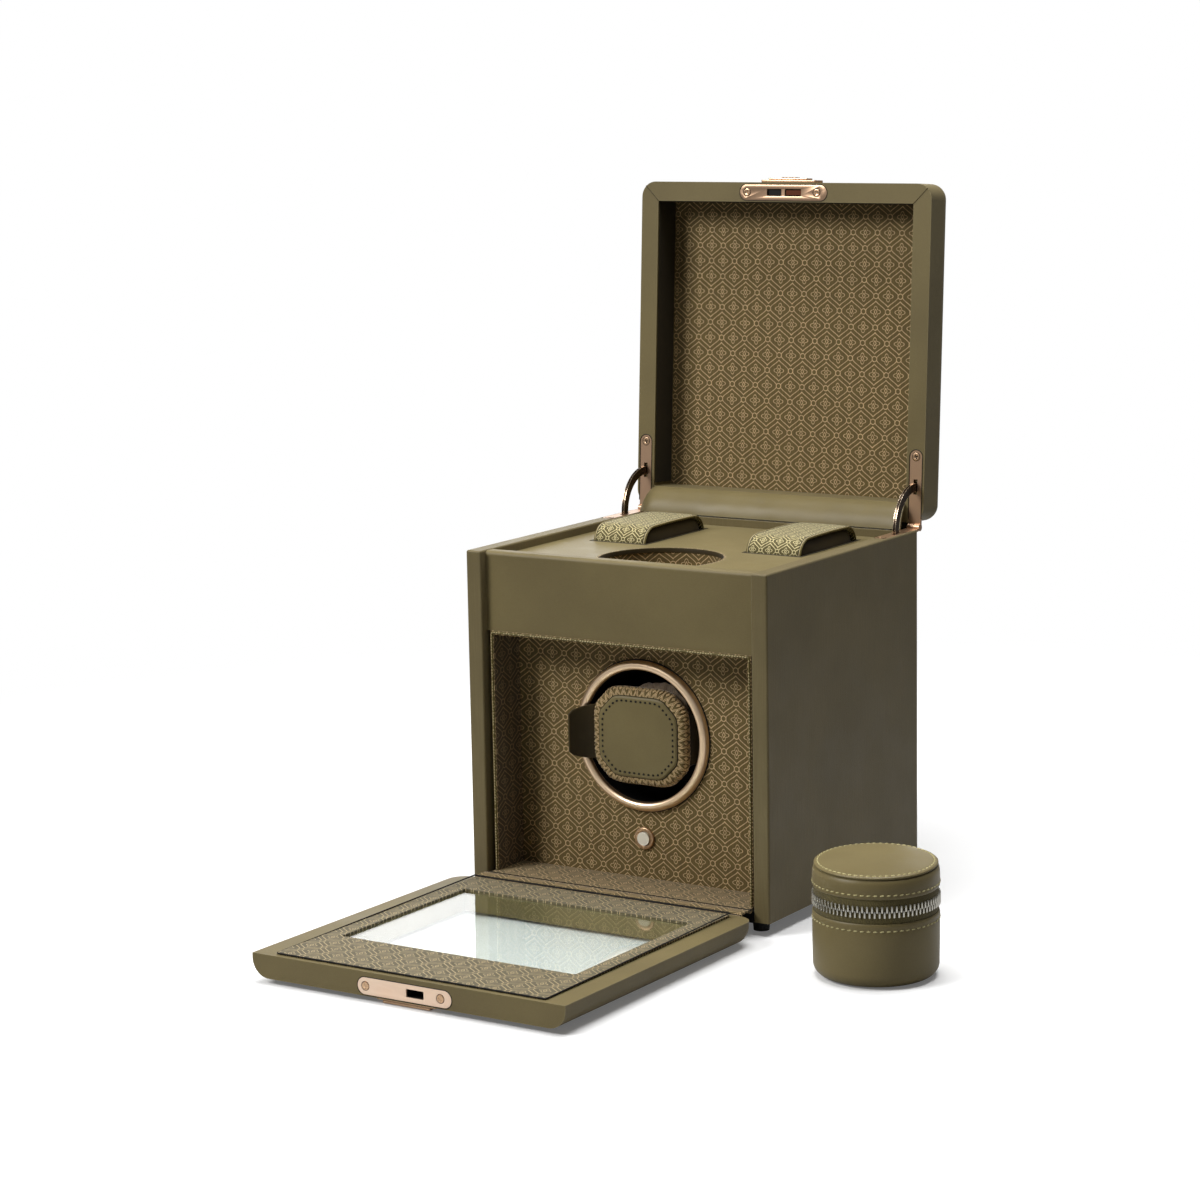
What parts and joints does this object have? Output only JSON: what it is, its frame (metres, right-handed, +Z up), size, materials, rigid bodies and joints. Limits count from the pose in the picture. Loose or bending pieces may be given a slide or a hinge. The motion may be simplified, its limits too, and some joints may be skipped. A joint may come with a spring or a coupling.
{
  "type": "watch winder box",
  "caption": "Leather-covered single watch winder with a lift-up lid, a fold-down glazed door, a turning drum, two storage cuffs and a round travel case",
  "frame": {"origin": "on the ground under the middle of the casing", "axes": "+Z up, -Y towards the front where the door folds down, +X to the right seen from the front"},
  "size_m": [0.3175, 0.435, 0.411],
  "materials": {
    "olive_leather": "satin",
    "lining_fabric": "matte",
    "dark_fabric": "matte",
    "rose_gold": "satin",
    "dark_bronze": "gloss",
    "black_plastic": "matte",
    "black_rubber": "matte",
    "clear_glass": "clear",
    "milky_plastic": "gloss",
    "steel": "brushed",
    "gear_plastic": "satin",
    "zip_tape": "matte",
    "board_green": "satin"
  },
  "bodies": {
    "casing": {"left_side_panel": "olive_leather", "right_side_panel": "olive_leather", "rear_panel": "olive_leather", "header_panel": "olive_leather", "base_board": "black_plastic", "feet": "black_rubber", "recess_lining": "lining_fabric", "ceiling_board": "black_plastic", "winder_panel": "lining_fabric", "bezel_ring": "rose_gold", "tray_board": "olive_leather", "tray_well": "lining_fabric", "cuff_wells": "dark_fabric", "module_housing": "black_plastic", "bearing_bush": "gear_plastic", "motor_bracket": "steel", "gearmotor": "steel", "machine_screws": "steel", "control_board": "board_green", "dc_jack": "black_plastic", "button_bezel": "rose_gold", "button_switch": "black_plastic", "body_hinge_plates": "rose_gold", "hinge_pins": "rose_gold", "hinge_gusset": "olive_leather", "door_hinge_strip": "lining_fabric"},
    "drum": {"drum_cup": "black_plastic", "drum_shaft": "steel", "drive_gear": "gear_plastic"},
    "motor_pinion": {"motor_pinion": "gear_plastic"},
    "start_button": {"button_cap": "milky_plastic", "button_spring": "steel"},
    "winding_cuff": {"cuff_core": "dark_fabric", "cuff_pad": "lining_fabric", "cuff_wings": "dark_fabric"},
    "left_cuff": {"left_storage_cuff": "lining_fabric"},
    "right_cuff": {"right_storage_cuff": "lining_fabric"},
    "stay_arms": {"stay_arms": "dark_bronze"},
    "lid": {"lid_shell": "olive_leather", "lid_lining": "lining_fabric", "lid_lock_plate": "rose_gold", "lid_lock_case": "steel", "lid_screws": "rose_gold", "lid_hinge_plates": "rose_gold", "lid_escutcheon": "rose_gold"},
    "thumb_slide": {"lid_thumb_slide": "rose_gold"},
    "lock_bolt": {"lid_bolt": "rose_gold"},
    "door": {"door_frame": "olive_leather", "door_lining": "lining_fabric", "door_glass": "clear_glass", "door_lock_plate": "rose_gold", "door_keeper": "steel", "door_screws": "rose_gold", "door_pull": "rose_gold"},
    "travel_case": {"case_base": "olive_leather", "lower_zip_tape": "zip_tape", "case_cushion": "dark_fabric"},
    "travel_case_lid": {"case_lid": "olive_leather", "upper_zip_tape": "zip_tape"},
    "zip_slider": {"zip_slider": "steel"}
  },
  "joints": [
    {"name": "drum_spin", "type": "hinge", "parent": "casing", "child": "drum", "pos_m": [0, 0, 0.0987], "axis": [0, 1, 0], "continuous": true},
    {"name": "pinion_spin", "type": "hinge", "parent": "casing", "child": "motor_pinion", "pos_m": [0, 0, 0.0597], "axis": [0, 1, 0], "continuous": true},
    {"name": "button_press", "type": "slide", "parent": "casing", "child": "start_button", "axis": [0, 1, 0], "range_m": [0, 0.001], "stiffness_N_per_m": 400, "springref_m": -0.001, "deforming": ["button_spring"]},
    {"name": "winding_cuff_pull", "type": "slide", "parent": "drum", "child": "winding_cuff", "axis": [0, -1, 0], "range_m": [0, 0.08]},
    {"name": "left_cuff_lift", "type": "slide", "parent": "casing", "child": "left_cuff", "axis": [0, 0, 1], "range_m": [0, 0.08]},
    {"name": "right_cuff_lift", "type": "slide", "parent": "casing", "child": "right_cuff", "axis": [0, 0, 1], "range_m": [0, 0.08]},
    {"name": "lid_swing", "type": "hinge", "parent": "casing", "child": "lid", "pos_m": [0, 0.098, 0.2051], "axis": [-1, 0, 0], "range_deg": [-93.4, 0], "deforming": ["hinge_gusset"]},
    {"name": "stay_arm_swing", "type": "hinge", "parent": "casing", "child": "stay_arms", "pos_m": [0, 0.098, 0.2051], "axis": [-1, 0, 0], "range_deg": [-46.7, 0]},
    {"name": "thumb_slide_run", "type": "slide", "parent": "lid", "child": "thumb_slide", "axis": [1, 0, 0], "range_m": [0, 0.0045]},
    {"name": "lock_bolt_throw", "type": "slide", "parent": "lid", "child": "lock_bolt", "axis": [0, -0.9982, 0.0593], "range_m": [0, 0.0054]},
    {"name": "door_fold", "type": "hinge", "parent": "casing", "child": "door", "pos_m": [0, -0.10036, 0.00539], "axis": [1, 0, 0], "range_deg": [-89.49, 0], "deforming": ["door_hinge_strip"]},
    {"name": "travel_case_lift", "type": "slide", "parent": "casing", "child": "travel_case", "axis": [0, 0, 1], "range_m": [0, 0.25]},
    {"name": "travel_case_open", "type": "hinge", "parent": "travel_case", "child": "travel_case_lid", "pos_m": [0.1835, -0.0889, 0.0422], "axis": [-1, 0, 0], "range_deg": [0, 100]},
    {"name": "zip_run", "type": "hinge", "parent": "travel_case", "child": "zip_slider", "pos_m": [0.1835, -0.1233, 0.04], "axis": [0, 0, 1], "range_deg": [0, 300]}
  ],
  "couplings": [
    {"joint": "pinion_spin", "follows": "drum_spin", "ratio": -3.3333},
    {"joint": "stay_arm_swing", "follows": "lid_swing", "ratio": 0.5},
    {"joint": "lock_bolt_throw", "follows": "thumb_slide_run", "ratio": 1.2}
  ]
}
